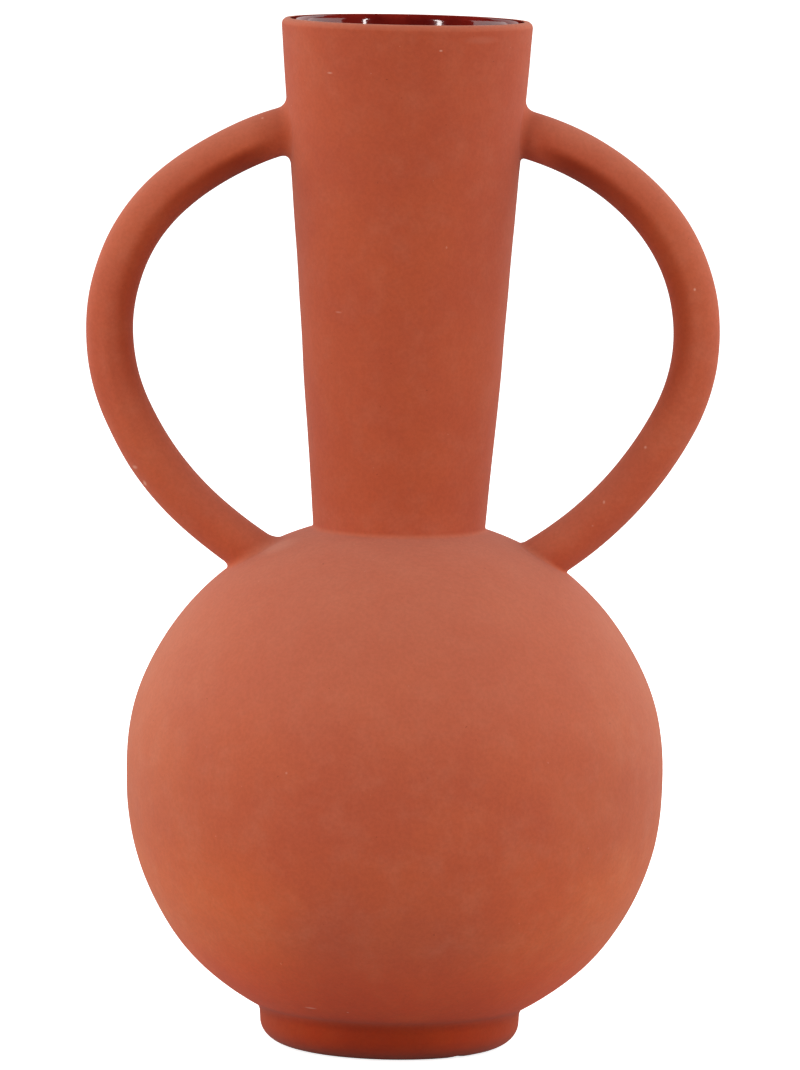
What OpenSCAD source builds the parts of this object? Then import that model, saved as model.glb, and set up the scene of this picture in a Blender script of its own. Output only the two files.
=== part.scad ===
// Two-handled vase in terracotta, glazed inside.
// A slightly flattened globe on a low foot ring carries a tall neck that widens
// towards the mouth. Two ear-shaped rod handles run from the neck to the shoulder.
// The clay pieces are luted together with slip, so every joint has its own thin
// layer of slip, and one glaze lining covers the whole inside.
// The origin is the middle of the face that the foot stands on. +Z is up, the
// handles lie along X, and the front faces -Y.

/* [Globe] */
// Radius of the globe at its widest
globe_r = 78.4; // [76:0.1:82]
// Height of the widest level above the ground
globe_z = 78.7; // [78:0.1:82]
// Radius of the arcs that round the globe above and below its band
globe_arc_r = 74.2; // [73:0.1:75.5]
// Height of the straight band round the widest level
globe_band_h = 3.4; // [1:0.1:6]
// Thickness of the clay wall
wall = 3.4; // [2.8:0.1:4.2]

/* [Neck] */
// Height of the lip's crest above the ground
total_h = 300; // [290:1:310]
// Outer radius of the neck where it stands on the shoulder
neck_base_r = 25; // [23:0.1:27]
// Outer radius of the neck just below the lip
neck_top_r = 36.4; // [34:0.1:39]

/* [Foot] */
// Outer radius of the foot ring
foot_r = 38.1; // [36:0.1:41]
// Inner radius of the foot ring
foot_bore_r = 25; // [22:0.1:27]
// Radius of the foot's outer lower edge
foot_round_r = 7; // [3:0.1:7.5]
// Radius of the foot's inner lower edge
foot_bore_round_r = 1.5; // [0.5:0.1:2]

/* [Handles] */
// Diameter of the handle rod
rod_d = 13.8; // [12:0.1:15]
// Distance from the vase's axis to the middle of the rod where the handle is widest
handle_reach = 85.4; // [83:0.1:87]
// Height of the handle's widest level
handle_z = 209.5; // [207:0.1:212]
// Radius of the bend round the widest level, at the middle of the rod
bend_r = 53.7; // [52:0.1:56]
// Turn of the bend above the widest level, in degrees
bend_up = 46; // [45:1:47]
// Turn of the bend below the widest level, in degrees
bend_down = 27; // [26:1:28]
// Radius of the flatter arc that runs up to the neck, at the middle of the rod
crown_r = 77.5; // [75:0.1:80]
// Radius of the flatter arc that runs down to the shoulder, at the middle of the rod
tail_r = 107.3; // [104:0.1:110]

/* [Joints] */
// Thickness of the slip between two luted pieces
slip_t = 0.4; // [0.2:0.05:0.6]
// Height of the ridge that centres the upper half of the globe on the lower half
ridge_h = 1.6; // [0.8:0.1:2.4]
// Width and height of the slip bead round a handle's upper end
upper_bead = 1.4; // [0.8:0.1:2]
// Width and height of the slip bead round a handle's lower end
lower_bead = 1; // [0.8:0.1:2]
// Radius of the slip fillet between the neck and the shoulder
neck_fillet_r = 1.8; // [1:0.1:3]

/* [Glaze] */
// Thickness of the glaze lining
glaze_t = 0.4; // [0.2:0.05:0.6]

/* [Hidden] */
$fn = 180;

clay_color = [0.70, 0.34, 0.23];
slip_color = [0.78, 0.46, 0.36];
glaze_color = [0.38, 0.05, 0.04];

// A length that reaches past the whole vase, for cutting outlines
far = 400;

// Globe: the arcs' centres lie this far from the axis
arc_x = globe_r - globe_arc_r;
band_top_z = globe_z + globe_band_h / 2;
band_low_z = globe_z - globe_band_h / 2;
ridge_w = wall / 2;

// Neck: it stands where the shoulder is as wide as the neck's base
shoulder_angle = asin((neck_base_r - arc_x) / globe_arc_r);
neck_base_z = band_top_z + globe_arc_r * cos(shoulder_angle);
neck_rise = total_h - wall / 2 - neck_base_z;
neck_tilt = atan((neck_top_r - neck_base_r) / neck_rise);
lip_r = wall / 2 * cos(neck_tilt);
lip_z = total_h - lip_r;

// Handle: the three arcs' centres, each pair tangent where they meet
rod_r = rod_d / 2;
bend_center = [handle_reach - bend_r, handle_z];
crown_center = bend_center + (bend_r - crown_r) * [cos(bend_up), sin(bend_up)];
tail_center = bend_center + (bend_r - tail_r) * [cos(bend_down), -sin(bend_down)];
// Turns that carry the rod's ends well inside the neck and the shoulder
crown_turn = 33;
tail_turn = 35;
// The crown and the tail are this much fatter than the bend and overlap it by this
// turn, so that the three arcs join with a clean edge
rod_step = 0.05;
overlap_turn = 0.5;

// Radius of the neck's cone at height z, moved outwards by gap
function neck_r_at(z, gap = 0) =
    neck_base_r + (z - neck_base_z) * tan(neck_tilt) + gap / cos(neck_tilt);

// Half outline of the globe, moved inwards by inset
module globe_outline(inset = 0) {
    r = globe_arc_r - inset;
    intersection() {
        union() {
            translate([arc_x, band_top_z]) circle(r);
            translate([arc_x, band_low_z]) circle(r);
            translate([0, band_low_z]) square([arc_x + r, globe_band_h]);
            translate([0, band_low_z - r]) square([arc_x, globe_band_h + 2 * r]);
        }
        square([far, far]);
    }
}

// Half outline of the space inside the neck's outer cone, moved outwards by gap
module cone_outline(gap, low_z, high_z) {
    polygon([[0, low_z], [neck_r_at(low_z, gap), low_z], [neck_r_at(high_z, gap), high_z], [0, high_z]]);
}

// Half outline of everything below the globe's seam, with the centring ridge on it
module below_seam(level) {
    ridge_x = globe_r - wall / 2;
    polygon([[0, 0], [far, 0], [far, level], [ridge_x + ridge_w / 2, level], [ridge_x, level + ridge_h],
             [ridge_x - ridge_w / 2, level], [0, level]]);
}

// Half outline of the globe's wall
module globe_wall_outline() {
    difference() {
        globe_outline();
        globe_outline(wall);
    }
}

// Half outline of the vase's inner space, moved inwards by inset
module cavity_outline(inset = 0) {
    globe_outline(wall + inset);
    cone_outline(-wall * cos(neck_tilt) - inset, globe_z, far);
}

module foot_ring() {
    color(clay_color) rotate_extrude() difference() {
        union() {
            translate([foot_r - foot_round_r, foot_round_r]) circle(foot_round_r);
            translate([foot_bore_r + foot_bore_round_r, foot_bore_round_r]) circle(foot_bore_round_r);
            translate([foot_bore_r + foot_bore_round_r, 0])
                square([foot_r - foot_round_r - foot_bore_r - foot_bore_round_r, foot_round_r]);
            translate([foot_bore_r, foot_bore_round_r])
                square([foot_r - foot_round_r - foot_bore_r, foot_round_r]);
            translate([foot_bore_r, foot_round_r]) square([foot_r - foot_bore_r, foot_round_r]);
        }
        globe_outline(-slip_t);
    }
}

module lower_bowl() {
    color(clay_color) rotate_extrude() intersection() {
        globe_wall_outline();
        below_seam(globe_z - slip_t / 2);
    }
}

module upper_dome() {
    color(clay_color) rotate_extrude() difference() {
        globe_wall_outline();
        below_seam(globe_z + slip_t / 2);
        cone_outline(-wall * cos(neck_tilt), globe_z, far);
    }
}

// Half outline of the neck's wall, with the round lip at its top
module neck_wall_outline() {
    lip_center = [neck_r_at(lip_z) - wall / 2, lip_z];
    across = lip_r * [cos(neck_tilt), -sin(neck_tilt)];
    difference() {
        union() {
            translate(lip_center) circle(lip_r);
            polygon([[neck_r_at(globe_z) - wall, globe_z], [neck_r_at(globe_z), globe_z],
                     lip_center + across, lip_center - across]);
        }
        globe_outline(-slip_t);
    }
}

module neck() {
    color(clay_color) rotate_extrude() neck_wall_outline();
}

// One arc of a rod in the XZ plane, between two angles measured from +X towards +Z
module rod_arc(center, r, rod, from, turn) {
    translate([center[0], 0, center[1]]) rotate([90, 0, 0])
        rotate_extrude(angle = turn, start = from) translate([r, 0]) circle(rod);
}

// The arcs of the right handle, swollen by bead
module crown(bead = 0) {
    rod_arc(crown_center, crown_r, rod_r + rod_step + bead, bend_up - overlap_turn, crown_turn);
}

module bend() {
    rod_arc(bend_center, bend_r, rod_r, -bend_down, bend_down + bend_up);
}

module tail(bead = 0) {
    rod_arc(tail_center, tail_r, rod_r + rod_step + bead, -bend_down - tail_turn, tail_turn + overlap_turn);
}

// The neck's outer cone and the globe as plain solids, swollen by gap
module neck_solid(gap = 0) {
    rotate_extrude() cone_outline(gap, globe_z, total_h);
}

module globe_solid(gap = 0) {
    rotate_extrude() globe_outline(-gap);
}

// The right handle: its ends are saddles that fit the neck and the shoulder
module handle() {
    color(clay_color) difference() {
        union() {
            crown();
            bend();
            tail();
        }
        neck_solid(slip_t);
        globe_solid(slip_t);
    }
}

// Slip under the right handle's upper end, squeezed out as a bead round it
module upper_slip() {
    color(slip_color) difference() {
        intersection() {
            crown(upper_bead);
            neck_solid(upper_bead);
        }
        neck_solid();
        difference() {
            crown();
            neck_solid(slip_t);
        }
    }
}

// Slip under the right handle's lower end, squeezed out as a bead round it
module lower_slip() {
    color(slip_color) difference() {
        intersection() {
            tail(lower_bead);
            globe_solid(lower_bead);
        }
        globe_solid();
        difference() {
            tail();
            globe_solid(slip_t);
        }
    }
}

module foot_slip() {
    color(slip_color) rotate_extrude() intersection() {
        difference() {
            globe_outline(-slip_t);
            globe_outline();
        }
        translate([foot_bore_r, 0]) square([foot_r - foot_bore_r, globe_z]);
    }
}

module equator_slip() {
    color(slip_color) rotate_extrude() difference() {
        intersection() {
            globe_wall_outline();
            below_seam(globe_z + slip_t / 2);
        }
        below_seam(globe_z - slip_t / 2);
    }
}

// Slip under the neck, with a concave fillet in the corner outside it
module neck_slip() {
    corner = [neck_base_r, neck_base_z];
    up = [sin(neck_tilt), cos(neck_tilt)];
    out = [cos(shoulder_angle), -sin(shoulder_angle)];
    middle = (up + out) / norm(up + out);
    half_angle = acos(up * out) / 2;
    fillet_center = corner + middle * neck_fillet_r / sin(half_angle);
    // The fillet's thin edges stop a little short of where they would vanish
    reach = 0.75 * neck_fillet_r / tan(half_angle);
    color(slip_color) {
        rotate_extrude() difference() {
            intersection() {
                globe_outline(-slip_t);
                cone_outline(0, globe_z, total_h);
            }
            globe_outline();
            cone_outline(-wall * cos(neck_tilt), globe_z, far);
        }
        rotate_extrude() difference() {
            polygon([corner - middle, corner + reach * up, fillet_center, corner + reach * out]);
            translate(fillet_center) circle(neck_fillet_r);
            globe_outline();
            neck_wall_outline();
        }
    }
}

module glaze_lining() {
    color(glaze_color) rotate_extrude() intersection() {
        difference() {
            cavity_outline();
            cavity_outline(glaze_t);
        }
        square([far, lip_z]);
    }
}

foot_ring();
lower_bowl();
upper_dome();
neck();
mirror([1, 0, 0]) handle();  // handle_left
handle();  // handle_right
foot_slip();
equator_slip();
neck_slip();
mirror([1, 0, 0]) upper_slip();  // left_upper_slip
mirror([1, 0, 0]) lower_slip();  // left_lower_slip
upper_slip();  // right_upper_slip
lower_slip();  // right_lower_slip
glaze_lining();
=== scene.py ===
"""Looks of a two-handled terracotta vase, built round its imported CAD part.

Every CAD node gets one detailed piece of the same clay, slip or glaze. The turned
pieces are outlines in the (r, z) half plane, revolved about the Z axis. The handles
are swept along three arcs, and their slip flares out onto the neck and shoulder.
"""

import math

import bmesh
import bpy
import numpy as np
from mathutils import Matrix, Vector


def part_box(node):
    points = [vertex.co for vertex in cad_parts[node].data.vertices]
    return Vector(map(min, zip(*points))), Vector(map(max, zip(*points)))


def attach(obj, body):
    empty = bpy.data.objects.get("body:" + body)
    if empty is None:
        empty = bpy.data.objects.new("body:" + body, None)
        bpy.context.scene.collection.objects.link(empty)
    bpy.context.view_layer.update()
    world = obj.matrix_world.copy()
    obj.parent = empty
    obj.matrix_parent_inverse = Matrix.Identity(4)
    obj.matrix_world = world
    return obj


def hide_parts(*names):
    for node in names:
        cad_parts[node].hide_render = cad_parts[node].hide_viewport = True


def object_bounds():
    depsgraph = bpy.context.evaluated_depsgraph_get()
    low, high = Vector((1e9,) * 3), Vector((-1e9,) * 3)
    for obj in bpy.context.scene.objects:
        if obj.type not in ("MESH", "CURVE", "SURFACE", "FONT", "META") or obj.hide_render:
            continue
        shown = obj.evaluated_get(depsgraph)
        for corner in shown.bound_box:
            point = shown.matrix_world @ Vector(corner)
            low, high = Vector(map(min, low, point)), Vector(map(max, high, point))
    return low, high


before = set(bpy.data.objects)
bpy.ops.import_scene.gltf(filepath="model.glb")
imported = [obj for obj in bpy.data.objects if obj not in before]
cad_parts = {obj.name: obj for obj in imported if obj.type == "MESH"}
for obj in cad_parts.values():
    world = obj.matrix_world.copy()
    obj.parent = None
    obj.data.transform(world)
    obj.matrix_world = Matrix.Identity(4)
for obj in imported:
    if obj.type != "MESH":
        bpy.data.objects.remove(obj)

cad_low, cad_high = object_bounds()

# ---------------------------------------------------------------- sizes, in metres

SEGMENTS = 360
STEP = 0.0011  # distance between an outline's points
EDGE_STEP = 0.0001  # the same beside a seam, so that shading runs on across it
SAME_POINT = 1e-6
SMOOTH_BELOW = math.radians(38)  # sharper edges than this are shaded as edges

# Read from the imported CAD parts
_, foot_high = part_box("foot_ring")
bowl_low, bowl_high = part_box("lower_bowl")
seam_low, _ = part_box("equator_slip")
_, neck_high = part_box("neck")
rod_low, rod_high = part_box("handle_right")

FOOT_R = foot_high.x
GLOBE_R = bowl_high.x
GLOBE_BOTTOM = bowl_low.z
SLIP = 0.0004
SEAM_Z = seam_low.z + SLIP / 2
TOTAL_H = neck_high.z
WALL = 0.0034

# Globe: two arcs joined by a straight band
GLOBE_ARC = 0.0742
BAND_H = 2 * (SEAM_Z - GLOBE_BOTTOM - GLOBE_ARC)
ARC_X = GLOBE_R - GLOBE_ARC
UPPER_CENTER = np.array([ARC_X, SEAM_Z + BAND_H / 2])
LOWER_CENTER = np.array([ARC_X, SEAM_Z - BAND_H / 2])
SEAM_RIDGE_H = 0.0016
SEAM_RIDGE_W = WALL / 2

# Neck: a cone
NECK_BASE_R = 0.025
NECK_TOP_R = 0.0364
NECK_BASE_Z = UPPER_CENTER[1] + math.sqrt(GLOBE_ARC**2 - (NECK_BASE_R - ARC_X) ** 2)
NECK_SLOPE = (NECK_TOP_R - NECK_BASE_R) / (TOTAL_H - WALL / 2 - NECK_BASE_Z)
NECK_TILT = math.atan(NECK_SLOPE)
NECK_FILLET = 0.0013
LIP_R = WALL / 2 * math.cos(NECK_TILT)
LIP_Z = TOTAL_H - LIP_R
GLAZE_T = 0.0004
GLAZE_EDGE_T = 0.00005
GLAZE_EDGE = 118.0  # degrees round the lip, where 90 is its crest
GLAZE_EDGE_STEPS = 22
GLAZE_THROAT_ROUND = 0.003
GLAZE_THROAT_STEPS = 14

# Foot ring
FOOT_BORE_R = 0.025
FOOT_BORE_ROUND = 0.0015
FOOT_ROUND_R = 0.0079
FOOT_ROUND_H = 0.0066
FOOT_TAPER = 0.0002
FOOT_FILLET = 0.0023

# Handles: three arcs in the XZ plane, each pair tangent where they meet
ROD_INSET = 0.00005  # room inside the box for the surface's unevenness
ROD_R = (rod_high.y - rod_low.y) / 2 - ROD_INSET
BEND_R = 0.0537
BEND_Z = 0.2095
BEND_UP = 46.0
BEND_DOWN = 27.0
CROWN_R = 0.0775
CROWN_TURN = 33.0
TAIL_R = 0.1073
TAIL_TURN = 35.0
ROD_SIDES = 96
ROD_RINGS = 220
# How far the slip spreads: on the outer side and on the inner side of each handle's end
FLARES = {
    (1, "upper"): (0.0030, 0.0014),
    (-1, "upper"): (0.0030, 0.0034),
    (1, "lower"): (0.0013, 0.0020),
    (-1, "lower"): (0.0026, 0.0036),
}
FLARE_RINGS = 12
SUNK = 0.00003  # how deep the slip's edge lies in the clay


# ---------------------------------------------------------------- outlines


def steps(length):
    """Shares from 0 to 1 along a stretch, STEP apart, with a fine step at each end."""
    count = max(2, math.ceil(length / STEP))
    shares = list(np.linspace(0, 1, count + 1))
    fine = EDGE_STEP / length
    if fine < 0.4 / count:  # where a fine step still fits into a normal one
        shares = [0.0, fine, *shares[1:-1], 1 - fine, 1.0]
    return np.array(shares)


def line(start, end):
    start, end = np.array(start, float), np.array(end, float)
    shares = steps(float(np.linalg.norm(end - start)))[:, None]
    return start + (end - start) * shares


def arc(center, radius, start, end, height=None):
    """Points of a circle or an upright ellipse; angles in degrees from +r to +z."""
    height = radius if height is None else height
    turn = np.radians(start + (end - start) * steps(math.radians(abs(end - start)) * radius))
    return np.array(center) + np.stack([radius * np.cos(turn), height * np.sin(turn)], 1)


def join(*parts):
    """One outline from several stretches, without doubled points."""
    points = [np.atleast_2d(np.array(p, float)) for p in parts]
    points = np.concatenate(points)
    keep = [0]
    for i in range(1, len(points)):
        if np.linalg.norm(points[i] - points[keep[-1]]) > SAME_POINT:
            keep.append(i)
    return points[keep]


def shorten(points, cut):
    """The outline without the last `cut` of its length."""
    gaps = np.linalg.norm(np.diff(points, axis=0), axis=1)
    along = np.concatenate([[0], np.cumsum(gaps)])
    end = along[-1] - cut
    kept = points[along < end - EDGE_STEP / 2]
    last = [np.interp(end, along, points[:, i]) for i in range(points.shape[1])]
    return np.concatenate([kept, [last]])


def bezier(start, corner, end, count):
    share = np.linspace(0, 1, count + 1)[:, None]
    start, corner, end = (np.array(p, float) for p in (start, corner, end))
    return (1 - share) ** 2 * start + 2 * share * (1 - share) * corner + share**2 * end


def rounded(first, second, reach, count=10):
    """Two outlines that meet in a corner, as (first, rounding, second)."""
    first_cut = shorten(first, reach)
    second_cut = shorten(second[::-1], reach)[::-1]
    turn = bezier(first_cut[-1], first[-1], second_cut[0], count)
    return first_cut, turn, second_cut


def globe_angle(r, radius):
    """Angle above the level of the arc's centre where the globe is r wide."""
    return math.degrees(math.acos((r - ARC_X) / radius))


def neck_r(z, gap=0.0):
    """Radius of the neck's outer surface at height z, moved outwards by gap."""
    return NECK_BASE_R + (z - NECK_BASE_Z) * NECK_SLOPE + gap / math.cos(NECK_TILT)


def neck_line(low_z, high_z, gap=0.0):
    heights = line([0, low_z], [0, high_z])[:, 1]
    return np.array([[neck_r(z, gap), z] for z in heights])


def neck_meets_globe(gap, radius):
    """The point where the neck's surface, moved by gap, meets the globe's upper arc."""
    low, high = SEAM_Z, TOTAL_H
    for _ in range(60):
        z = (low + high) / 2
        inside = math.hypot(neck_r(z, gap) - ARC_X, z - UPPER_CENTER[1]) < radius
        low, high = (z, high) if inside else (low, z)
    return np.array([neck_r(z, gap), z])


# ---------------------------------------------------------------- hand-made unevenness

# Wavelength and height of the waves, four in random directions of each
WAVES = [(0.09, 0.00007), (0.045, 0.00004), (0.02, 0.000015), (0.008, 0.000004)]
rng = np.random.default_rng(11)
wave_set = []
for wavelength, height in WAVES:
    for _ in range(4):
        direction = rng.normal(size=3)
        direction *= 2 * math.pi / wavelength / np.linalg.norm(direction)
        wave_set.append((direction, rng.uniform(0, 2 * math.pi), height))

# Slow swellings of the hand-turned wall: height on the vase, reach up and down, swelling,
# and the radius beyond which they don't reach
SWELLS = [
    (0.100, 0.015, 0.0006, 0.10),
    (0.027, 0.009, 0.0005, 0.10),
    (0.193, 0.017, 0.0003, 0.055),
]
FADE_R = 0.015  # over which a swelling, or the lean below, fades out
AXIS_R = 0.004  # the waves calm down within about this distance of the axis
GROUNDED_Z = 0.012  # and below this height, so that the foot stands flat
# The neck leans a little to the left above this height, and nothing outside it does
LEAN_Z = 0.19
LEAN_R = 0.055
LEAN = 0.00045
# A nick in the foot's lower edge
NICK_PLACE = np.array([0.0193, -0.0249, 0.0002])
NICK_SIZE = 0.0014
NICK_DEPTH = 0.0008


def uneven(points):
    """Moves points by one smooth field, so that touching pieces stay in touch."""
    points = np.array(points, float)
    swell = sum(h * np.sin(points @ d + p) for d, p, h in wave_set)
    r = np.linalg.norm(points[:, :2], axis=1)
    share = r / (r + AXIS_R)
    out = points[:, :2] / np.maximum(r, 1e-6)[:, None]
    nick = np.exp(-(np.linalg.norm(points - NICK_PLACE, axis=1) / NICK_SIZE) ** 2)
    height = points[:, 2]
    for middle, reach, rise, within in SWELLS:
        near = np.clip((within - r) / FADE_R, 0, 1)
        swell = swell + rise * near * np.exp(-(((height - middle) / reach) ** 2))
    grounded = np.clip(height / GROUNDED_Z, 0, 1)
    lean = LEAN * np.clip((height - LEAN_Z) / (TOTAL_H - LEAN_Z), 0, 1) ** 2
    moved = points.copy()
    moved[:, 0] -= lean * np.clip((LEAN_R - r) / FADE_R, 0, 1)
    moved[:, :2] += out * (swell * share * grounded - NICK_DEPTH * nick)[:, None]
    moved[:, 2] += NICK_DEPTH * nick
    return moved


# ---------------------------------------------------------------- meshes


def make_piece(name, vertices, faces, node, material):
    """A closed, smooth-shaded mesh that stands for one CAD node."""
    mesh = bpy.data.meshes.new(name)
    mesh.from_pydata([tuple(v) for v in vertices], [], faces)
    work = bmesh.new()
    work.from_mesh(mesh)
    bmesh.ops.recalc_face_normals(work, faces=work.faces)
    for face in work.faces:
        face.smooth = True
    for edge in work.edges:
        edge.smooth = edge.calc_face_angle(0) < SMOOTH_BELOW
    work.to_mesh(mesh)
    work.free()
    mesh.materials.append(material)
    piece = bpy.data.objects.new(name, mesh)
    bpy.context.scene.collection.objects.link(piece)
    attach(piece, "root")
    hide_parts(node)
    return piece


def lathe(name, outline, node, material, segments=SEGMENTS):
    """Revolves a closed outline. Points on the axis become one vertex each."""
    turns = np.linspace(0, 2 * math.pi, segments, endpoint=False)
    vertices, rings = [], []
    for r, z in outline:
        if r < SAME_POINT:
            rings.append([len(vertices)] * segments)
            vertices.append((0, 0, z))
        else:
            rings.append(list(range(len(vertices), len(vertices) + segments)))
            vertices += [(r * math.cos(t), r * math.sin(t), z) for t in turns]
    faces = []
    for i, low in enumerate(rings):
        high = rings[(i + 1) % len(rings)]
        if low[0] == low[1] and high[0] == high[1]:
            continue
        for j in range(segments):
            k = (j + 1) % segments
            corners = dict.fromkeys([low[j], low[k], high[k], high[j]])
            faces.append(tuple(corners))
    return make_piece(name, uneven(vertices), faces, node, material)


# ---------------------------------------------------------------- the handles' line

BEND_CENTER = np.array([rod_high.x - ROD_R - BEND_R, BEND_Z])


def turned(center, radius, other, angle):
    """Centre of the arc of radius `other` that goes on from the one given."""
    a = math.radians(angle)
    return center + (radius - other) * np.array([math.cos(a), math.sin(a)])


CROWN_CENTER = turned(BEND_CENTER, BEND_R, CROWN_R, BEND_UP)
TAIL_CENTER = turned(BEND_CENTER, BEND_R, TAIL_R, -BEND_DOWN)
ROD_ARCS = [
    (CROWN_CENTER, CROWN_R, BEND_UP + CROWN_TURN, BEND_UP),
    (BEND_CENTER, BEND_R, BEND_UP, -BEND_DOWN),
    (TAIL_CENTER, TAIL_R, -BEND_DOWN, -BEND_DOWN - TAIL_TURN),
]
ARC_LENGTHS = [r * math.radians(a - b) for _, r, a, b in ROD_ARCS]
ROD_LENGTH = sum(ARC_LENGTHS)


def rod_axis(along):
    """Point of the rod's middle line and its outward direction, in (x, z)."""
    for (center, radius, start, end), length in zip(ROD_ARCS, ARC_LENGTHS):
        if along <= length or end == ROD_ARCS[-1][3]:
            angle = math.radians(start) - along / radius
            out = np.array([math.cos(angle), math.sin(angle)])
            return center + radius * out, out
        along -= length


def bell(value, middle, width):
    return math.exp(-(((value - middle) / width) ** 2))


# Where each rod strays from its arcs: side, share of its length, reach, shift outwards
# and change of radius; side is 1 for the right handle and -1 for the left one
STRAYS = [
    (-1, 0.13, 0.10, -0.0005, -0.0001),
    (-1, 0.74, 0.13, 0.0008, 0.0003),
    (1, 0.20, 0.10, 0.0001, -0.0002),
    (1, 0.80, 0.13, 0.00015, 0.0),
]
# How uneven a rod's radius is along it and round it, as shares of the radius
ROD_WAVE = 0.006
ROD_OVAL = 0.004
# The soft ridge on the left rod: how far it is round the rod and along it, how wide and
# how long it is, and its height
RIDGE_TURN = math.radians(-80)
RIDGE_SHARE = 0.62
RIDGE_SPREAD = 0.20
RIDGE_REACH = 0.16
RIDGE_RISE = 0.00045


def rod_radius(along, turn, side):
    """The rolled rod isn't quite even, and the left one has a soft ridge."""
    share = along / ROD_LENGTH
    wave = ROD_WAVE * math.sin(7 * share + side)
    oval = ROD_OVAL * math.cos(2 * turn)
    radius = ROD_R * (1 + wave + oval)
    for at, middle, reach, _, swell in STRAYS:
        if at == side:
            radius += swell * bell(share, middle, reach)
    if side < 0:
        off = turn - RIDGE_TURN
        off = math.atan2(math.sin(off), math.cos(off))
        radius += RIDGE_RISE * bell(off, 0, RIDGE_SPREAD) * bell(share, RIDGE_SHARE, RIDGE_REACH)
    return radius


def rod_point(along, turn, side):
    """Point of the rod's surface; turn 0 faces away from the vase's axis."""
    (x, z), out = rod_axis(along)
    radius = rod_radius(along, turn, side)
    stray = sum(
        shift * bell(along / ROD_LENGTH, middle, reach)
        for at, middle, reach, shift, _ in STRAYS
        if at == side
    )
    outwards = radius * math.cos(turn) + stray
    return np.array([x + outwards * out[0], radius * math.sin(turn), z + outwards * out[1]])


# ---------------------------------------------------------------- materials


class Nodes:
    """Short calls for building one material's node tree."""

    def __init__(self, name):
        self.material = bpy.data.materials.new(name)
        self.material.use_nodes = True
        self.tree = self.material.node_tree
        self.shader = self.tree.nodes["Principled BSDF"]
        self.place = self.add("ShaderNodeTexCoord").outputs["Object"]

    def add(self, kind, **values):
        node = self.tree.nodes.new(kind)
        for key, value in values.items():
            setattr(node, key, value)
        return node

    def link(self, source, target):
        self.tree.links.new(source, target)

    def noise(self, size, detail, roughness, shift=0.0):
        """Noise whose features are about `size` metres across."""
        mapping = self.add("ShaderNodeMapping")
        mapping.inputs["Scale"].default_value = [1 / size] * 3
        mapping.inputs["Location"].default_value = (shift, shift * 0.7, shift * 1.3)
        self.link(self.place, mapping.inputs["Vector"])
        texture = self.add("ShaderNodeTexNoise")
        texture.inputs["Scale"].default_value = 1.0
        texture.inputs["Detail"].default_value = detail
        texture.inputs["Roughness"].default_value = roughness
        self.link(mapping.outputs["Vector"], texture.inputs["Vector"])
        return texture.outputs["Fac"]

    def spread(self, value, low, high, to_low=0.0, to_high=1.0):
        """Carries low..high over to to_low..to_high, with soft ends."""
        node = self.add("ShaderNodeMapRange", interpolation_type="SMOOTHSTEP")
        node.inputs["From Min"].default_value = low
        node.inputs["From Max"].default_value = high
        node.inputs["To Min"].default_value = to_low
        node.inputs["To Max"].default_value = to_high
        self.link(value, node.inputs["Value"])
        return node.outputs["Result"]

    def mix(self, share, first, second, blend="MIX"):
        """Mixes two colours, each a socket or an (r, g, b)."""
        node = self.add("ShaderNodeMix", data_type="RGBA", blend_type=blend)
        colour_inputs = [s for s in node.inputs if s.type == "RGBA"]
        for socket, value in zip(colour_inputs, (first, second)):
            if isinstance(value, tuple):
                socket.default_value = (*value, 1)
            else:
                self.link(value, socket)
        if isinstance(share, float):
            node.inputs["Factor"].default_value = share
        else:
            self.link(share, node.inputs["Factor"])
        return next(s for s in node.outputs if s.type == "RGBA")

    def tint(self, colour, share, factor):
        """The colour, multiplied by an (r, g, b) factor as far as the share says."""
        return self.mix(share, colour, factor, "MULTIPLY")

    def math(self, operation, first, second=0.0):
        node = self.add("ShaderNodeMath", operation=operation)
        for socket, value in zip(node.inputs, (first, second)):
            if isinstance(value, (int, float)):
                socket.default_value = value
            else:
                self.link(value, socket)
        return node.outputs["Value"]

    def fleck(self, center, size, strength):
        """A share that is strength at a small spot, and 0 outside it."""
        shift = self.add("ShaderNodeVectorMath", operation="SUBTRACT")
        shift.inputs[1].default_value = center
        self.link(self.place, shift.inputs[0])
        scale = self.add("ShaderNodeVectorMath", operation="DIVIDE")
        scale.inputs[1].default_value = size
        self.link(shift.outputs["Vector"], scale.inputs[0])
        length = self.add("ShaderNodeVectorMath", operation="LENGTH")
        self.link(scale.outputs["Vector"], length.inputs[0])
        return self.spread(length.outputs["Value"], 0.2, 1.0, strength, 0.0)

    def bump(self, height, strength, distance, before=None):
        """A normal tilted by the height, on top of an earlier bump if there is one."""
        node = self.add("ShaderNodeBump")
        node.inputs["Strength"].default_value = strength
        node.inputs["Distance"].default_value = distance
        self.link(height, node.inputs["Height"])
        if before is not None:
            self.link(before, node.inputs["Normal"])
        return node.outputs["Normal"]


def on_neck(azimuth, z):
    """Point of the neck's surface; azimuth 0 is in front and 90 on the right."""
    a = math.radians(azimuth)
    return (neck_r(z) * math.sin(a), -neck_r(z) * math.cos(a), z)


def on_globe(azimuth, z):
    center = UPPER_CENTER if z > SEAM_Z else LOWER_CENTER
    r = ARC_X + math.sqrt(GLOBE_ARC**2 - (z - center[1]) ** 2)
    a = math.radians(azimuth)
    return (r * math.sin(a), -r * math.cos(a), z)


def on_rod(side, share, turn):
    """Point of a handle at a share of its length, turn degrees round from its outer side."""
    x, y, z = rod_point(share * ROD_LENGTH, math.radians(turn), side)
    return (side * x, y, z)


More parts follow.
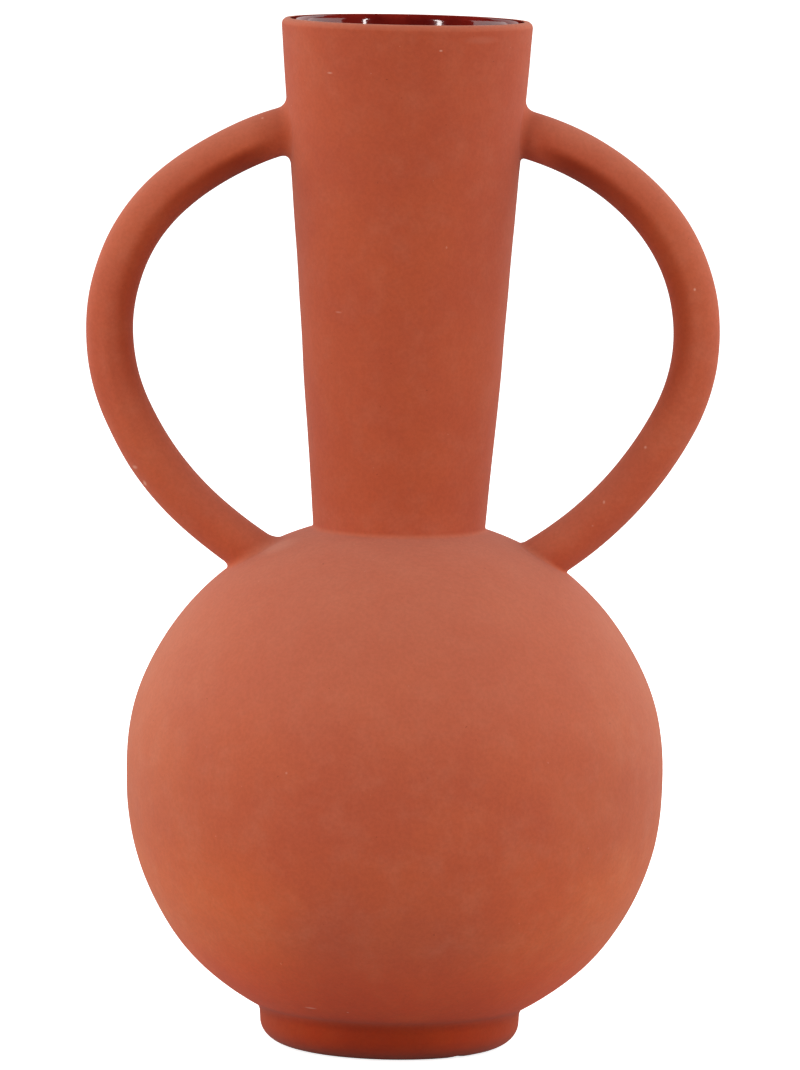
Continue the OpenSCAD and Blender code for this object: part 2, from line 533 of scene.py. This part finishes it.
# Pale scuffs on the clay: where each is, half its size along x, y and z, and strength
SCUFFS = [
    (on_neck(15, 0.2928), (0.0007, 0.0009, 0.0004), 0.5),
    (on_neck(-39, 0.2855), (0.0014, 0.0012, 0.0004), 0.35),
    (on_neck(-38, 0.2165), (0.0016, 0.0016, 0.0004), 0.2),
    (on_globe(-29, 0.0165), (0.0030, 0.0020, 0.0004), 0.45),
    (on_globe(-23, 0.0891), (0.0006, 0.0006, 0.0006), 0.45),
    (on_globe(-15, 0.0160), (0.0005, 0.0005, 0.0004), 0.4),
    (on_rod(-1, 0.717, -37), (0.0013, 0.0016, 0.0008), 0.4),
    (on_rod(-1, 0.746, -32), (0.0008, 0.0012, 0.0015), 0.5),
    (on_rod(-1, 0.059, -35), (0.0006, 0.0006, 0.0004), 0.5),
    (on_rod(1, 0.412, -83), (0.0005, 0.0005, 0.0006), 0.45),
    (on_rod(1, 0.695, -121), (0.0006, 0.0006, 0.0006), 0.4),
    (on_rod(1, 0.810, -113), (0.0005, 0.0005, 0.0008), 0.4),
    (on_globe(-72, 0.1470), (0.0100, 0.0080, 0.0045), 0.16),
    (on_neck(36, 0.2958), (0.0090, 0.0080, 0.0016), 0.06),
]


CLAY_BODY = (0.462, 0.080, 0.033)
CLAY_WARM = (0.498, 0.092, 0.035)
CLAY_PALE = (0.530, 0.148, 0.082)
CLAY_BARE = (0.80, 0.45, 0.33)
DARK_SPECK = tuple(0.35 * c for c in CLAY_BODY)
GLAZE_DEEP = (0.16, 0.007, 0.005)
GLAZE_BRIGHT = (0.26, 0.016, 0.010)

# Light and shade painted on the clay by place. Each is a colour factor with the stretches
# over which it comes in or fades away: heights in metres, radii as distances from the neck's
# top radius, and sideways turns of the surface as the size of its normal's X.
# Painted shade: deeper, darker red low on the globe, down to the foot
LOW_SHADE_TINT = (1.24, 0.66, 0.14)
LOW_SHADE_FADE_Z = (0.012, 0.042)
# Painted shade: darker still on the foot and in its crease
FOOT_SHADE_TINT = (0.50, 0.44, 0.60)
FOOT_SHADE_FADE_Z = (0.0098, 0.0142)
# Painted shade: a darker neck
NECK_SHADE_TINT = (0.93, 0.85, 0.80)
NECK_SHADE_FROM_Z = (0.15, 0.165)
LIP_FADE_Z = (0.2972, 0.2995)
NECK_FADE_R = 0.012
# Painted light: paler flanks where the globe faces sideways
FLANK_LIGHT_TINT = (1.03, 1.22, 1.25)
FLANK_LIGHT_TURN = (0.5, 1.0)
FLANK_LIGHT_FADE_Z = (0.125, 0.14)
# Painted light: lighter lower sides of the globe
LOW_SIDE_LIGHT_TINT = (1.22, 1.20, 0.95)
LOW_SIDE_LIGHT_TURN = (0.15, 0.6)
LOW_SIDE_LIGHT_FADE_Z = (0.045, 0.075)
# Painted shade on the handles: where they face the neck and the ground, more under their tops
# and close to the neck
HANDLE_SHADE_TINT = (0.78, 0.60, 0.42)
HANDLE_SHADE_FACING = 0.9
HANDLE_SHADE_FADE = (-0.55, 0.05)
HANDLE_SHADE_FROM_Z = (0.142, 0.158)
UNDER_SHADE_TINT = (0.80, 0.68, 0.52)
UNDER_SHADE_FROM_Z = (0.235, 0.26)
CLOSE_SHADE_SHARE = 0.8
CLOSE_SHADE_FADE_R = 0.03


def painted_light_and_shade(n, colour, normal):
    """Painted light and shade on the clay by place: the foot, neck, flanks and handles.

    Painted shade darkens the foot and the globe just above it, the neck, and the handles'
    sides that face the neck. Painted light makes the globe's flanks paler, and its lower
    sides lighter than its lower front.
    """
    place = n.add("ShaderNodeSeparateXYZ")
    n.link(n.place, place.inputs["Vector"])
    x, y, z = (place.outputs[axis] for axis in "XYZ")
    squares = n.math("ADD", n.math("MULTIPLY", x, x), n.math("MULTIPLY", y, y))
    radius = n.math("SQRT", squares)
    off_neck = n.spread(radius, NECK_TOP_R, NECK_TOP_R + NECK_FADE_R)
    sideways = n.math("MULTIPLY", normal["X"], n.math("SIGN", x))

    # Painted shade: deeper, darker red low on the globe, down to the foot
    colour = n.tint(colour, n.spread(z, *LOW_SHADE_FADE_Z, 1.0, 0.0), LOW_SHADE_TINT)
    # Painted shade: darker still on the foot and in its crease
    colour = n.tint(colour, n.spread(z, *FOOT_SHADE_FADE_Z, 1.0, 0.0), FOOT_SHADE_TINT)

    # Painted shade: a darker neck, fading out at the lip and where the neck ends
    neck = n.math("SUBTRACT", n.spread(z, *NECK_SHADE_FROM_Z), off_neck)
    neck = n.math("MULTIPLY", neck, n.spread(z, *LIP_FADE_Z, 1.0, 0.0))
    colour = n.tint(colour, n.math("MAXIMUM", neck, 0.0), NECK_SHADE_TINT)

    # Painted light: paler flanks where the globe faces sideways
    flank_light = n.spread(sideways, *FLANK_LIGHT_TURN)
    flank_light = n.math("MULTIPLY", flank_light, n.spread(z, *FLANK_LIGHT_FADE_Z, 1.0, 0.0))
    colour = n.tint(colour, flank_light, FLANK_LIGHT_TINT)
    # Painted light: lighter lower sides of the globe
    low_side_light = n.spread(sideways, *LOW_SIDE_LIGHT_TURN)
    low_side_light = n.math("MULTIPLY", low_side_light, n.spread(z, *LOW_SIDE_LIGHT_FADE_Z, 1.0, 0.0))
    colour = n.tint(colour, low_side_light, LOW_SIDE_LIGHT_TINT)

    # On the handles: painted shade where the surface faces the neck and the ground
    facing = n.math("MULTIPLY", n.math("ADD", sideways, normal["Z"]), HANDLE_SHADE_FACING)
    handle_shade = n.spread(facing, *HANDLE_SHADE_FADE, 1.0, 0.0)
    handle_shade = n.math("MULTIPLY", handle_shade, n.spread(z, *HANDLE_SHADE_FROM_Z))
    handle_shade = n.math("MULTIPLY", handle_shade, off_neck)
    colour = n.tint(colour, handle_shade, HANDLE_SHADE_TINT)
    # Painted shade: darker still under the handles' tops
    under = n.math("MULTIPLY", handle_shade, n.spread(z, *UNDER_SHADE_FROM_Z))
    colour = n.tint(colour, under, UNDER_SHADE_TINT)
    # Painted shade: darker again close to the neck
    fade = (NECK_TOP_R + NECK_FADE_R, NECK_TOP_R + CLOSE_SHADE_FADE_R)
    close = n.math("MULTIPLY", handle_shade, n.spread(radius, *fade, CLOSE_SHADE_SHARE, 0.0))
    return n.tint(colour, close, HANDLE_SHADE_TINT)


def clay_material(name):
    """Unglazed fired clay: mottled, grainy, and paler where it faces up, as painted light from
    above.
    """
    n = Nodes(name)
    axes = n.add("ShaderNodeSeparateXYZ")
    n.link(n.add("ShaderNodeNewGeometry").outputs["Normal"], axes.inputs["Vector"])

    # Clouds, painted light from above, and blotches
    cloudy = n.spread(n.noise(0.035, 4, 0.6), 0.36, 0.66)
    colour = n.mix(cloudy, CLAY_BODY, CLAY_WARM)
    # Painted light: paler where the clay faces up, in place of light from above
    painted_top_light = n.spread(axes.outputs["Z"], -0.3, 0.9, 0.0, 0.75)
    patchy = n.spread(n.noise(0.014, 4, 0.6, shift=6.1), 0.3, 0.7, 0.8, 1.0)
    colour = n.mix(n.math("MULTIPLY", painted_top_light, patchy), colour, CLAY_PALE)
    blotches = n.spread(n.noise(0.009, 5, 0.62, shift=3.1), 0.42, 0.78, 0.0, 0.3)
    colour = n.mix(blotches, colour, CLAY_PALE)

    # Grain and specks
    grain = n.spread(n.noise(0.0011, 3, 0.7, shift=7.7), 0.3, 0.7, 0.95, 1.05)
    grain_colour = n.add("ShaderNodeCombineColor")
    for channel in ("Red", "Green", "Blue"):
        n.link(grain, grain_colour.inputs[channel])
    colour = n.mix(1.0, colour, grain_colour.outputs["Color"], "MULTIPLY")
    light_specks = n.spread(n.noise(0.0016, 1, 0.5, shift=5.3), 0.80, 0.86, 0.0, 0.25)
    colour = n.mix(light_specks, colour, CLAY_BARE)
    dark_specks = n.spread(n.noise(0.0013, 1, 0.5, shift=9.1), 0.78, 0.84, 0.0, 0.4)
    colour = n.mix(dark_specks, colour, DARK_SPECK)

    colour = painted_light_and_shade(n, colour, axes.outputs)
    for center, size, strength in SCUFFS:
        colour = n.mix(n.fleck(center, size, strength), colour, CLAY_BARE)
    n.link(colour, n.shader.inputs["Base Color"])

    # Surface: rough, with a faint sheen, soft unevenness and fine tooth
    rough = n.spread(n.noise(0.004, 4, 0.6, shift=1.9), 0.3, 0.7, 0.82, 0.95)
    n.link(rough, n.shader.inputs["Roughness"])
    n.shader.inputs["Specular IOR Level"].default_value = 0.12
    n.shader.inputs["Sheen Weight"].default_value = 0.14
    n.shader.inputs["Sheen Roughness"].default_value = 0.6
    n.shader.inputs["Sheen Tint"].default_value = (1.0, 0.8, 0.72, 1)
    soft = n.bump(n.noise(0.006, 3, 0.5, shift=4.4), 0.22, 0.0003)
    fine = n.bump(n.noise(0.0007, 4, 0.65, shift=2.2), 0.3, 0.0001, soft)
    n.link(fine, n.shader.inputs["Normal"])
    return n.material


def glaze_material():
    """Glossy dark red glaze with slight pooling."""
    n = Nodes("oxblood_glaze")
    pooled = n.spread(n.noise(0.012, 4, 0.6), 0.35, 0.7)
    colour = n.mix(pooled, GLAZE_DEEP, GLAZE_BRIGHT)
    n.link(colour, n.shader.inputs["Base Color"])
    rough = n.spread(n.noise(0.006, 3, 0.5, shift=2.0), 0.3, 0.7, 0.05, 0.11)
    n.link(rough, n.shader.inputs["Roughness"])
    n.shader.inputs["Coat Weight"].default_value = 0.3
    n.shader.inputs["Coat Roughness"].default_value = 0.04
    ripple = n.bump(n.noise(0.009, 2, 0.4, shift=6.0), 0.05, 0.0002)
    n.link(ripple, n.shader.inputs["Normal"])
    return n.material


clay = clay_material("terracotta_clay")
slip = clay_material("terracotta_slip")
glaze = glaze_material()


# ---------------------------------------------------------------- turned pieces

globe_shell = GLOBE_ARC + SLIP  # radius of the surface that the foot and the neck meet
inner_arc = GLOBE_ARC - WALL
ridge_x = GLOBE_R - WALL / 2


def seam_line(level, outwards):
    """The seam between the globe's halves, with the ridge that centres them."""
    points = [
        [GLOBE_R - WALL, level],
        [ridge_x - SEAM_RIDGE_W / 2, level],
        [ridge_x, level + SEAM_RIDGE_H],
        [ridge_x + SEAM_RIDGE_W / 2, level],
        [GLOBE_R, level],
    ]
    points = np.array(points)
    return points if outwards else points[::-1]


def build_foot():
    """The foot ring and the slip that fixes it under the bowl."""
    side_r = FOOT_R - FOOT_TAPER
    bore_top = LOWER_CENTER[1] - math.sqrt(globe_shell**2 - (FOOT_BORE_R - ARC_X) ** 2)
    side_top = LOWER_CENTER[1] - math.sqrt(GLOBE_ARC**2 - (FOOT_R - ARC_X) ** 2)
    side = line([side_r, FOOT_ROUND_H], [FOOT_R, side_top])
    contact = -globe_angle(FOOT_R, globe_shell), -globe_angle(FOOT_BORE_R, globe_shell)
    bowl_side = arc(LOWER_CENTER, GLOBE_ARC, -globe_angle(FOOT_R, GLOBE_ARC), -45)
    side, crease, bowl_side = rounded(side, bowl_side, FOOT_FILLET)
    top = arc(LOWER_CENTER, globe_shell, *contact)
    ring = join(
        line([FOOT_BORE_R, bore_top], [FOOT_BORE_R, FOOT_BORE_ROUND]),
        arc([FOOT_BORE_R + FOOT_BORE_ROUND, FOOT_BORE_ROUND], FOOT_BORE_ROUND, 180, 270),
        arc([side_r - FOOT_ROUND_R, FOOT_ROUND_H], FOOT_ROUND_R, -90, 0, FOOT_ROUND_H),
        side,
        top,
    )
    lathe("foot_ring_clay", ring[:-1], "foot_ring", clay, 2 * SEGMENTS)
    under = arc(LOWER_CENTER, GLOBE_ARC, -globe_angle(FOOT_BORE_R, GLOBE_ARC),
                -globe_angle(bowl_side[0][0], GLOBE_ARC))
    bead = join(top[::-1], side[-1], crease, under[::-1][1:])
    lathe("foot_slip_bead", bead, "foot_slip", slip)


def build_globe():
    """The two halves of the globe and the slip in the seam between them."""
    bottom = [0, GLOBE_BOTTOM]
    low, high = SEAM_Z - SLIP / 2, SEAM_Z + SLIP / 2
    bowl = join(
        line(bottom, [ARC_X, GLOBE_BOTTOM]),
        arc(LOWER_CENTER, GLOBE_ARC, -90, 0),
        line([GLOBE_R, LOWER_CENTER[1]], [GLOBE_R, low]),
        seam_line(low, outwards=False),
        line([GLOBE_R - WALL, low], [GLOBE_R - WALL, LOWER_CENTER[1]]),
        arc(LOWER_CENTER, inner_arc, 0, -90),
        [0, GLOBE_BOTTOM + WALL],
    )
    lathe("lower_bowl_clay", bowl, "lower_bowl", clay)
    seam = join(seam_line(low, outwards=True), seam_line(high, outwards=False))
    lathe("equator_slip_band", seam, "equator_slip", slip)
    opening = neck_meets_globe(-WALL, GLOBE_ARC)
    inner_opening = neck_meets_globe(-WALL, inner_arc)
    dome = join(
        seam_line(high, outwards=True),
        line([GLOBE_R, high], [GLOBE_R, UPPER_CENTER[1]]),
        arc(UPPER_CENTER, GLOBE_ARC, 0, globe_angle(opening[0], GLOBE_ARC)),
        arc(UPPER_CENTER, inner_arc, globe_angle(inner_opening[0], inner_arc), 0),
        line([GLOBE_R - WALL, UPPER_CENTER[1]], [GLOBE_R - WALL, high])[:-1],
    )
    lathe("upper_dome_clay", dome, "upper_dome", clay)


def build_neck():
    """The neck with its round lip, and the slip that fixes it on the dome."""
    foot_in = neck_meets_globe(-WALL, globe_shell)
    foot_out = neck_meets_globe(0, globe_shell)
    corner = neck_meets_globe(0, GLOBE_ARC)
    shoulder = arc(UPPER_CENTER, GLOBE_ARC, 30, globe_angle(corner[0], GLOBE_ARC))
    side = neck_line(corner[1], LIP_Z - LIP_R * math.sin(NECK_TILT))
    shoulder_cut, fillet, side_cut = rounded(shoulder, side, NECK_FILLET)
    bottom = arc(UPPER_CENTER, globe_shell, globe_angle(foot_in[0], globe_shell),
                 globe_angle(foot_out[0], globe_shell))
    lip_center = [neck_r(LIP_Z) - WALL / 2, LIP_Z]
    tilt = math.degrees(NECK_TILT)
    neck = join(
        bottom,
        neck_line(foot_out[1], side_cut[0][1]),
        side_cut,
        arc(lip_center, LIP_R, -tilt, 180 - tilt),
        neck_line(LIP_Z, foot_in[1], -WALL)[1:-1],
    )
    lathe("neck_clay", neck, "neck", clay)
    under_in = neck_meets_globe(-WALL, GLOBE_ARC)
    under = arc(UPPER_CENTER, GLOBE_ARC, globe_angle(under_in[0], GLOBE_ARC),
                globe_angle(shoulder_cut[-1][0], GLOBE_ARC))
    layer = join(under, fillet, neck_line(side_cut[0][1], foot_out[1]), bottom[::-1])
    lathe("neck_slip_fillet", layer, "neck_slip", slip)


def build_glaze():
    """The glaze inside the vase; it thins out on the inner side of the lip."""
    skin_arc = inner_arc - GLAZE_T
    neck_gap = -WALL - GLAZE_T
    floor_z = GLOBE_BOTTOM + WALL
    inner_corner = neck_meets_globe(-WALL, inner_arc)
    skin_corner = neck_meets_globe(neck_gap, skin_arc)
    clay_side = join(
        [0, floor_z],
        arc(LOWER_CENTER, inner_arc, -90, 0),
        arc(UPPER_CENTER, inner_arc, 0, globe_angle(inner_corner[0], inner_arc)),
        neck_line(inner_corner[1], LIP_Z, -WALL),
    )
    lip_center = np.array([neck_r(LIP_Z) - WALL / 2, LIP_Z])
    tilt = math.degrees(NECK_TILT)
    turn = np.radians(np.linspace(180 - tilt, GLAZE_EDGE, GLAZE_EDGE_STEPS))
    clay_lip = lip_center + LIP_R * np.stack([np.cos(turn), np.sin(turn)], 1)
    share = np.linspace(0, 1, len(turn))
    skin_r = LIP_R + GLAZE_T + (GLAZE_EDGE_T - GLAZE_T) * share**1.5
    skin_lip = lip_center + skin_r[:, None] * np.stack([np.cos(turn), np.sin(turn)], 1)
    belly = join(
        [0, floor_z + GLAZE_T],
        arc(LOWER_CENTER, skin_arc, -90, 0),
        arc(UPPER_CENTER, skin_arc, 0, globe_angle(skin_corner[0], skin_arc)),
    )
    throat = neck_line(skin_corner[1], LIP_Z, neck_gap)
    belly, edge, throat = rounded(belly, throat, GLAZE_THROAT_ROUND, GLAZE_THROAT_STEPS)
    skin = join(belly, edge, throat, skin_lip)
    outline = join(clay_side, clay_lip, skin[::-1])
    lathe("glaze_lining_gloss", outline, "glaze_lining", glaze)


# ---------------------------------------------------------------- handles


def above_neck(p):
    """Distance of a point from the neck's outer surface."""
    return (math.hypot(p[0], p[1]) - neck_r(p[2])) * math.cos(NECK_TILT)


def above_globe(p):
    """Distance of a point from the globe's upper half."""
    r = math.hypot(p[0], p[1])
    return math.hypot(r - ARC_X, p[2] - UPPER_CENTER[1]) - GLOBE_ARC


def slope_of(surface, p):
    """Unit direction in which the distance to the surface grows."""
    tiny = 1e-6
    grown = np.array([surface(p + d) - surface(p - d) for d in np.eye(3) * tiny])
    return grown / np.linalg.norm(grown)


def landing(surface, turn, side, outside, inside, flares):
    """Where the rod's line at this turn meets the body, and its flared rounding."""
    outer, inner = flares
    flare = (outer + inner) / 2 + (outer - inner) / 2 * math.cos(turn)
    for _ in range(50):
        middle = (outside + inside) / 2
        if surface(rod_point(middle, turn, side)) > 0:
            outside = middle
        else:
            inside = middle
    met = rod_point(middle, turn, side)
    back = middle + math.copysign(flare, ROD_LENGTH / 2 - middle)
    start = rod_point(back, turn, side)
    center, _ = rod_axis(middle)
    away = met - np.array([center[0], 0, center[1]])
    normal = slope_of(surface, met)
    away -= normal * (away @ normal)
    end = met + away / np.linalg.norm(away) * flare
    end -= slope_of(surface, end) * (surface(end) + SUNK)
    return back, bezier(start, met, end, FLARE_RINGS)


def tube(rings, side):
    """Vertices and faces of a closed tube; each end is a fan to its middle."""
    sides = len(rings[0])
    vertices = [p for ring in rings for p in ring]
    first, last = len(vertices), len(vertices) + 1
    vertices += [np.mean(rings[0], axis=0), np.mean(rings[-1], axis=0)]
    faces = []
    for i in range(len(rings) - 1):
        for j in range(sides):
            k = (j + 1) % sides
            a, b = i * sides, (i + 1) * sides
            faces.append((a + j, a + k, b + k, b + j))
    end = (len(rings) - 1) * sides
    for j in range(sides):
        k = (j + 1) % sides
        faces += [(first, k, j), (last, end + j, end + k)]
    points = np.array(vertices) * np.array([side, 1, 1])
    return uneven(points), faces


def build_handle(name, side):
    """A rod handle and the slip at both its ends; side is 1 right, -1 left."""
    turns = [2 * math.pi * i / ROD_SIDES for i in range(ROD_SIDES)]
    up_end = ARC_LENGTHS[0]
    low_end = ARC_LENGTHS[0] + ARC_LENGTHS[1]
    up_flares, low_flares = FLARES[side, "upper"], FLARES[side, "lower"]
    upper = [landing(above_neck, t, side, up_end, 0.0, up_flares) for t in turns]
    lower = [landing(above_globe, t, side, low_end, ROD_LENGTH, low_flares) for t in turns]
    edge = EDGE_STEP / ROD_LENGTH
    shares = [0, edge, *np.linspace(0, 1, ROD_RINGS + 1)[1:-1], 1 - edge, 1]
    rings = [
        [rod_point(u[0] + (w[0] - u[0]) * s, t, side) for u, w, t in zip(upper, lower, turns)]
        for s in shares
    ]
    points, faces = tube(rings, side)
    make_piece(f"{name}_handle_clay", points, faces, f"handle_{name}", clay)
    for end, ends in (("upper", upper), ("lower", lower)):
        flare = [[curve[i] for _, curve in ends] for i in range(len(ends[0][1]))]
        points, faces = tube(flare, side)
        node = f"{name}_{end}_slip"
        make_piece(f"{node}_flare", points, faces, node, slip)


build_foot()
build_globe()
build_neck()
build_glaze()
build_handle("right", 1)
build_handle("left", -1)

# ---------------------------------------------------------------- stage, light, camera

FLOOR_R = 60.0
DISC_SIDES = 128
FLOOR_PALENESS, FLOOR_GLOW = 0.9, 0.8
BOUNCE_PALENESS = 0.50
BOUNCE_DROP = 0.0005
BACKDROP = 1.05


def plain_disc(name, level, paleness, glow):
    """A wide level disc of one plain matte white or grey, as a stage for the vase."""
    mesh = bpy.data.meshes.new(name)
    work = bmesh.new()
    bmesh.ops.create_circle(work, cap_ends=True, radius=FLOOR_R, segments=DISC_SIDES)
    work.to_mesh(mesh)
    work.free()
    material = bpy.data.materials.new(name)
    material.use_nodes = True
    shader = material.node_tree.nodes["Principled BSDF"]
    shader.inputs["Base Color"].default_value = (paleness, paleness, paleness, 1)
    shader.inputs["Roughness"].default_value = 1.0
    shader.inputs["Specular IOR Level"].default_value = 0.0
    shader.inputs["Emission Color"].default_value = (1, 1, 1, 1)
    shader.inputs["Emission Strength"].default_value = glow
    mesh.materials.append(material)
    disc = bpy.data.objects.new(name, mesh)
    disc.location.z = level
    bpy.context.scene.collection.objects.link(disc)
    return disc


def build_floor():
    """A white floor for the camera, and a grey one just under it that throws light back."""
    floor = plain_disc("floor", 0.0, FLOOR_PALENESS, FLOOR_GLOW)
    floor.visible_diffuse = False
    floor.visible_glossy = False
    floor.visible_shadow = False
    bounce = plain_disc("bounce", -BOUNCE_DROP, BOUNCE_PALENESS, 0.0)
    bounce.visible_camera = False
    bounce.visible_glossy = False


VASE_MIDDLE = Vector((0, 0, (cad_low.z + cad_high.z) / 2))


def soft_box(name, azimuth, elevation, distance, width, height, radiance, roll=0.0):
    """A rectangular light aimed at the vase, rolled about its own line of sight.

    Azimuth 0 is in front and 90 on the right.
    """
    a, e = math.radians(azimuth), math.radians(elevation)
    back = Vector((math.sin(a) * math.cos(e), -math.cos(a) * math.cos(e), math.sin(e)))
    light = bpy.data.lights.new(name, "AREA")
    light.shape = "RECTANGLE"
    light.size, light.size_y = width, height
    light.energy = radiance * math.pi * width * height
    lamp = bpy.data.objects.new(name, light)
    lamp.location = VASE_MIDDLE + back * distance
    turn = (-back).to_track_quat("-Z", "Y").to_matrix()
    turn = turn @ Matrix.Rotation(math.radians(roll), 3, "Z")
    lamp.rotation_euler = turn.to_euler()
    lamp.visible_camera = False
    bpy.context.scene.collection.objects.link(lamp)


def build_world(ambient):
    """Dim even light from all round, and white where the camera looks past the floor.

    Glossy surfaces don't mirror it, so the glaze shows the soft boxes only.
    """
    world = bpy.data.worlds.new("studio")
    world.use_nodes = True
    world.cycles_visibility.glossy = False
    nodes, links = world.node_tree.nodes, world.node_tree.links
    dim = nodes["Background"]
    dim.inputs["Color"].default_value = (1, 1, 1, 1)
    dim.inputs["Strength"].default_value = ambient
    white = nodes.new("ShaderNodeBackground")
    white.inputs["Color"].default_value = (1, 1, 1, 1)
    white.inputs["Strength"].default_value = BACKDROP
    chooser = nodes.new("ShaderNodeMixShader")
    path = nodes.new("ShaderNodeLightPath")
    links.new(path.outputs["Is Camera Ray"], chooser.inputs["Fac"])
    links.new(dim.outputs["Background"], chooser.inputs[1])
    links.new(white.outputs["Background"], chooser.inputs[2])
    links.new(chooser.outputs["Shader"], nodes["World Output"].inputs["Surface"])
    bpy.context.scene.world = world


# name, azimuth, elevation, distance, width, height, radiance, roll
SOFT_BOXES = [
    ("left_box", -100, 10, 1.4, 1.4, 1.2, 2.15, 0),
    ("right_box", 100, 10, 1.4, 1.4, 1.2, 2.0, 0),
    ("back_left_box", -145, 20, 1.6, 1.0, 1.6, 0.7, 0),
    ("back_right_box", 145, 20, 1.6, 1.0, 1.6, 1.1, 0),
    ("left_strip", -35, 9, 1.6, 0.12, 0.7, 18, -25),
    ("right_strip", 46, 9, 1.6, 0.08, 0.7, 18, 14),
]
AMBIENT = 0.68

CAMERA_DISTANCE = 2.343  # from the middle of the globe
CAMERA_ELEVATION = math.radians(8.06)
CAMERA_ROLL = math.radians(1.13)
CAMERA_AIM = Vector((0.00033, 0, 0.1497))
LENS_MM = 269.2


def build_camera():
    """A long lens that looks slightly down at the vase."""
    middle = Vector((0, 0, SEAM_Z))
    back = Vector((0, -math.cos(CAMERA_ELEVATION), math.sin(CAMERA_ELEVATION)))
    place = middle + back * CAMERA_DISTANCE
    camera_data = bpy.data.cameras.new("camera")
    camera_data.lens = LENS_MM
    camera_data.clip_start, camera_data.clip_end = 0.1, 2 * FLOOR_R
    camera = bpy.data.objects.new("camera", camera_data)
    turn = (CAMERA_AIM - place).to_track_quat("-Z", "Y").to_matrix()
    turn = turn @ Matrix.Rotation(CAMERA_ROLL, 3, "Z")
    camera.matrix_world = Matrix.Translation(place) @ turn.to_4x4()
    bpy.context.scene.collection.objects.link(camera)
    bpy.context.scene.camera = camera


build_floor()
build_world(AMBIENT)
for box in SOFT_BOXES:
    soft_box(*box)
build_camera()
bpy.context.scene.view_settings.view_transform = "Standard"

bpy.context.view_layer.update()
